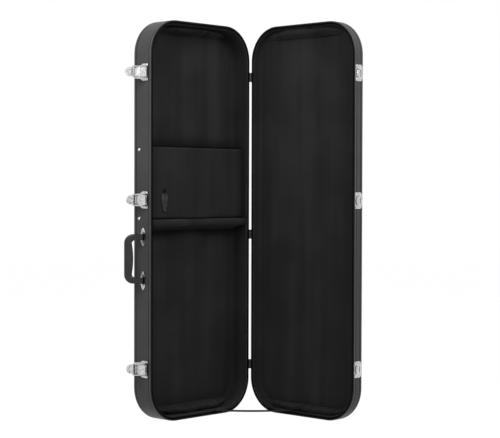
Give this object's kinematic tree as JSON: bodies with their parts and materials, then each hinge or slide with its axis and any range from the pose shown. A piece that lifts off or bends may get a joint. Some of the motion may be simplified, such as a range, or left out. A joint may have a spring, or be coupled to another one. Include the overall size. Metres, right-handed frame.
{
  "type": "electric guitar case",
  "caption": "Rectangular hard case with a deep half and a shallow lid hinged on one long side, latches, a carry handle and a plush-lined interior.",
  "frame": {"origin": "middle of the deep half's lower end face, on which the case stands", "axes": "+Z along the case, up as it stands; the deep half opens towards -Y and the lid lies open along -Y on its +X side"},
  "size_m": [0.4478, 0.4406, 1.04],
  "materials": {
    "black_vinyl": "grained black vinyl over plywood",
    "rim_vinyl": "folded vinyl edge",
    "black_plush": "short-pile plush",
    "tab_leather": "smooth leather",
    "stay_webbing": "woven webbing",
    "handle_plastic": "moulded, satin",
    "black_metal": "black japanned steel",
    "nickel": "bright nickel plate"
  },
  "bodies": {
    "base": {"base_end_pad_lower": "black_plush", "base_end_pad_upper": "black_plush", "base_floor_lining": "black_plush", "base_panel": "black_vinyl", "base_rim_trim": "rim_vinyl", "base_side_lining": "black_plush", "base_wall": "black_vinyl", "compartment_hinge_tape": "black_plush", "divider_studs": "nickel", "handle_bracket_lower": "nickel", "handle_bracket_upper": "nickel", "handle_pins": "nickel", "handle_rivets": "nickel", "hinge_1_base_leaf": "black_metal", "hinge_1_pin": "black_metal", "hinge_2_base_leaf": "black_metal", "hinge_2_pin": "black_metal", "hinge_3_base_leaf": "black_metal", "hinge_3_pin": "black_metal", "hinge_base_screws": "black_metal", "latch_1_lever_pin": "nickel", "latch_1_plate": "nickel", "latch_2_lever_pin": "nickel", "latch_2_plate": "nickel", "latch_3_lever_pin": "nickel", "latch_3_plate": "nickel", "latch_rivets": "nickel", "lid_stay": "stay_webbing", "lower_divider": "black_plush", "stay_base_rivet": "nickel", "upper_divider": "black_plush"},
    "lid": {"catch_1": "nickel", "catch_2": "nickel", "catch_3": "nickel", "catch_rivets": "nickel", "hinge_1_lid_leaf": "black_metal", "hinge_2_lid_leaf": "black_metal", "hinge_3_lid_leaf": "black_metal", "hinge_lid_screws": "black_metal", "lid_end_pad_lower": "black_plush", "lid_end_pad_upper": "black_plush", "lid_floor_lining": "black_plush", "lid_panel": "black_vinyl", "lid_rim_trim": "rim_vinyl", "lid_side_lining": "black_plush", "lid_wall": "black_vinyl", "stay_lid_rivet": "nickel"},
    "compartment_lid": {"compartment_lid": "black_plush", "pull_tab": "tab_leather"},
    "handle": {"handle": "handle_plastic"},
    "latch_1_hasp": {"latch_1_hasp": "nickel"},
    "latch_1_lever": {"latch_1_hasp_pin": "nickel", "latch_1_lever": "nickel"},
    "latch_2_hasp": {"latch_2_hasp": "nickel"},
    "latch_2_lever": {"latch_2_hasp_pin": "nickel", "latch_2_lever": "nickel"},
    "latch_3_hasp": {"latch_3_hasp": "nickel"},
    "latch_3_lever": {"latch_3_hasp_pin": "nickel", "latch_3_lever": "nickel"}
  },
  "joints": [
    {"name": "lid_hinge", "type": "hinge", "parent": "base", "child": "lid", "pos_m": [0.1857, -0.0339, 0.48], "axis": [0, 0, 1], "range_deg": [-90, 0], "deforming": ["lid_stay"]},
    {"name": "compartment_hinge", "type": "hinge", "parent": "base", "child": "compartment_lid", "pos_m": [0.169, -0.0135, 0.615], "axis": [0, 0, 1], "range_deg": [0, 95], "deforming": ["compartment_hinge_tape"]},
    {"name": "handle_pivot", "type": "hinge", "parent": "base", "child": "handle", "pos_m": [-0.1889, -0.0059, 0.424], "axis": [0, 0, 1], "range_deg": [-37, 110]},
    {"name": "latch_1_lever_pivot", "type": "hinge", "parent": "base", "child": "latch_1_lever", "pos_m": [-0.187, -0.0204, 0.14], "axis": [0, 0, 1], "range_deg": [-25, 0]},
    {"name": "latch_1_hasp_pivot", "type": "hinge", "parent": "latch_1_lever", "child": "latch_1_hasp", "pos_m": [-0.18877, -0.01659, 0.14], "axis": [0, 0, -1], "range_deg": [-168, 0]},
    {"name": "latch_2_lever_pivot", "type": "hinge", "parent": "base", "child": "latch_2_lever", "pos_m": [-0.187, -0.0204, 0.575], "axis": [0, 0, 1], "range_deg": [-27, 0]},
    {"name": "latch_2_hasp_pivot", "type": "hinge", "parent": "latch_2_lever", "child": "latch_2_hasp", "pos_m": [-0.18891, -0.01666, 0.575], "axis": [0, 0, -1], "range_deg": [-168, 0]},
    {"name": "latch_3_lever_pivot", "type": "hinge", "parent": "base", "child": "latch_3_lever", "pos_m": [-0.187, -0.0204, 0.902], "axis": [0, 0, 1], "range_deg": [-45, 0]},
    {"name": "latch_3_hasp_pivot", "type": "hinge", "parent": "latch_3_lever", "child": "latch_3_hasp", "pos_m": [-0.18997, -0.01743, 0.902], "axis": [0, 0, -1], "range_deg": [-168, 0]}
  ],
  "couplings": [
    {"joint": "latch_1_hasp_pivot", "follows": "latch_1_lever_pivot", "ratio": 6.72},
    {"joint": "latch_2_hasp_pivot", "follows": "latch_2_lever_pivot", "ratio": 6.2222},
    {"joint": "latch_3_hasp_pivot", "follows": "latch_3_lever_pivot", "ratio": 3.7333}
  ]
}
